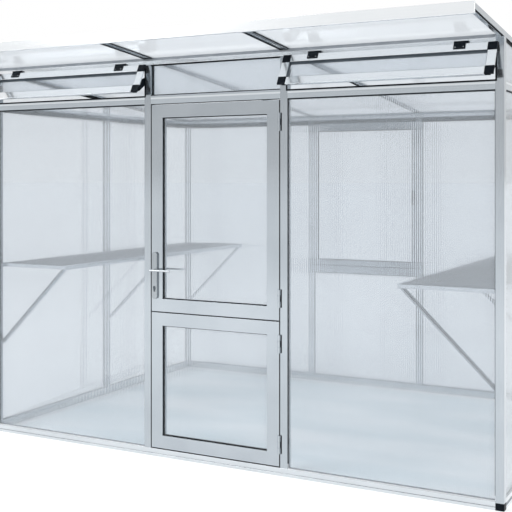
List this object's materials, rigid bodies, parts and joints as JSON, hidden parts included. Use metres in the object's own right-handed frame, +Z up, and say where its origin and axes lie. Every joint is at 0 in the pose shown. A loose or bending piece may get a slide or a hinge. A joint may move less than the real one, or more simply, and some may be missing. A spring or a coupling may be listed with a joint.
{
  "type": "greenhouse",
  "caption": "Mono-pitch greenhouse of aluminium profiles and twin-wall sheet, with a stable door, top-hung vents and shelves along both sides.",
  "frame": {"origin": "centre of the overall box at ground level", "axes": "+X to the right along the front, +Y from the front to the rear, +Z up"},
  "size_m": [3.16, 2.8542, 2.3133],
  "materials": {
    "aluminium": "natural anodised, satin",
    "pale_profile": "powder coated, pale",
    "seal_grey": "grey compression strip",
    "black_plastic": "black moulded plastic",
    "rubber": "black glazing gasket",
    "polycarbonate": "clear twin-wall sheet",
    "clear_pane": "clear door pane",
    "floor": "pale, softly clouded floor panel",
    "shelf_sheet": "matt grey sheet",
    "lock_steel": "satin steel"
  },
  "bodies": {
    "house": {"corner_shoes": "black_plastic", "base_rails": "aluminium", "floor_panel": "floor", "corner_posts": "aluminium", "door_posts": "aluminium", "wall_posts": "aluminium", "ring_beam": "aluminium", "front_header": "pale_profile", "rear_eave": "aluminium", "gable_rafters": "aluminium", "inner_rafters": "aluminium", "rafter_gaskets": "rubber", "rafter_caps": "aluminium", "roof_edges": "pale_profile", "roof_sheets": "polycarbonate", "roof_seals": "seal_grey", "front_sheets": "polycarbonate", "side_sheets": "polycarbonate", "gable_sheets": "polycarbonate", "rear_sheets": "polycarbonate", "sheet_gaskets": "rubber", "door_top_pane": "polycarbonate", "window_rail": "aluminium", "window_sash": "aluminium", "window_pane": "polycarbonate", "window_handle": "black_plastic", "vent_frames": "pale_profile", "vent_corners": "black_plastic", "vent_panes": "polycarbonate", "vent_gaskets": "rubber", "vent_hinges": "black_plastic", "vent_stays": "black_plastic", "shelf_tops": "shelf_sheet", "shelf_rims": "aluminium", "shelf_bearers": "aluminium", "shelf_struts": "aluminium", "post_hinges": "aluminium"},
    "upper_leaf": {"upper_frame": "aluminium", "upper_gasket": "rubber", "upper_pane": "clear_pane", "upper_hinges": "aluminium", "lock_plates": "lock_steel"},
    "lever": {"lever_handle": "lock_steel"},
    "lower_leaf": {"lower_frame": "aluminium", "lower_gasket": "rubber", "lower_pane": "clear_pane", "lower_hinges": "aluminium"}
  },
  "joints": [
    {"name": "upper_leaf_hinge", "type": "hinge", "parent": "house", "child": "upper_leaf", "pos_m": [0.404, -0.90224, 1.4], "axis": [0, 0, 1], "range_deg": [0, 110]},
    {"name": "lower_leaf_hinge", "type": "hinge", "parent": "house", "child": "lower_leaf", "pos_m": [0.404, -0.90224, 0.43], "axis": [0, 0, 1], "range_deg": [0, 110]},
    {"name": "lever_turn", "type": "hinge", "parent": "upper_leaf", "child": "lever", "pos_m": [-0.3755, -0.89474, 1.05], "axis": [0, 1, 0], "range_deg": [0, 40], "stiffness_Nm_per_rad": 2, "springref_deg": -17.19}
  ]
}
